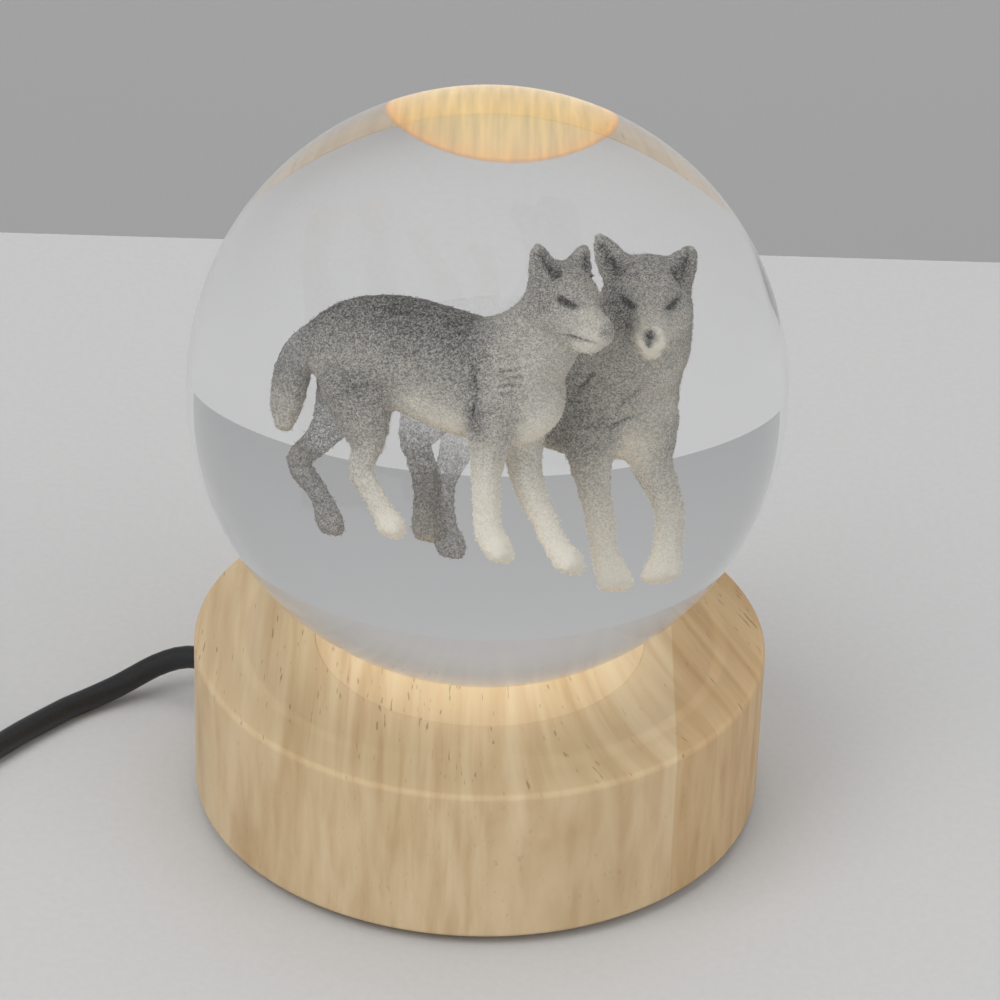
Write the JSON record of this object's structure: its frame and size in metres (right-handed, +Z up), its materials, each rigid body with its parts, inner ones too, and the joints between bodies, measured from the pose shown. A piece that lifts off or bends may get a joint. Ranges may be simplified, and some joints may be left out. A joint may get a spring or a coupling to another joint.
{
  "type": "glass ball lamp",
  "caption": "Clear glass ball with engraved wolves inside, resting on a lit round wooden base, with a black cord, push switch and plug.",
  "frame": {"origin": "middle of the base's footprint, on the surface that it stands on", "axes": "+Z up, -Y towards the viewer of the engraved figures, the cord leaves at the rear left"},
  "size_m": [0.1766, 0.08, 0.1031],
  "materials": {
    "clear_glass": "polished clear glass",
    "engraved_marks": "laser marks in the glass, fine pale dots",
    "pale_wood": "pale sanded wood with fine grain",
    "clear_silicone": "soft translucent silicone",
    "frosted_plastic": "frosted light diffuser",
    "white_board": "white circuit board",
    "led_phosphor": "yellow LED face",
    "chip_black": "black chip part",
    "zinc_steel": "zinc plated",
    "brass": "plain brass",
    "black_plastic": "moulded black plastic, satin",
    "black_rubber": "matt black rubber",
    "cord_skin": "soft black cord sheath, satin",
    "red_skin": "red wire insulation",
    "natural_nylon": "natural nylon"
  },
  "bodies": {
    "base": {"wooden_base": "pale_wood", "well_diffuser": "frosted_plastic", "light_board": "white_board", "led_1": "led_phosphor", "led_2": "led_phosphor", "led_3": "led_phosphor", "led_4": "led_phosphor", "led_5": "led_phosphor", "led_6": "led_phosphor", "resistor_1": "chip_black", "resistor_2": "chip_black", "board_screw_1": "zinc_steel", "board_screw_2": "zinc_steel", "board_screw_3": "zinc_steel", "bottom_cover": "black_plastic", "cover_screw_1": "zinc_steel", "cover_screw_2": "zinc_steel", "cover_screw_3": "zinc_steel", "foot_1": "black_rubber", "foot_2": "black_rubber", "foot_3": "black_rubber", "foot_4": "black_rubber", "cord_grommet": "black_rubber", "cord_tail": "cord_skin", "cable_tie": "natural_nylon", "red_wire": "red_skin", "black_wire": "cord_skin", "cord_run": "cord_skin", "cord_link": "cord_skin", "cord_coil": "cord_skin", "cord_end": "cord_skin", "coil_tie": "black_plastic", "switch_lower_shell": "black_plastic", "switch_upper_shell": "black_plastic", "contact_strip_1": "brass", "contact_strip_2": "brass", "switch_screw_1": "zinc_steel", "switch_screw_2": "zinc_steel", "plug_grip": "black_plastic", "plug_shell": "zinc_steel", "plug_tongue": "natural_nylon", "plug_contact_1": "brass", "plug_contact_2": "brass", "plug_contact_3": "brass", "plug_contact_4": "brass"},
    "seat_ring": {"seat_ring": "clear_silicone"},
    "ball": {"glass_ball": "clear_glass", "near_wolf": "engraved_marks", "far_wolf": "engraved_marks"},
    "button": {"switch_button": "black_plastic", "leaf_spring": "zinc_steel"}
  },
  "joints": [
    {"name": "ball_turn", "type": "hinge", "parent": "base", "child": "seat_ring", "pos_m": [0, 0, 0.0631], "axis": [0, 0, 1], "continuous": true},
    {"name": "ball_lift", "type": "slide", "parent": "seat_ring", "child": "ball", "axis": [0, 0, 1], "range_m": [0, 0.05]},
    {"name": "button_press", "type": "slide", "parent": "base", "child": "button", "axis": [0, 0, 1], "range_m": [-0.001, 0], "stiffness_N_per_m": 300, "springref_m": 0.0005}
  ]
}
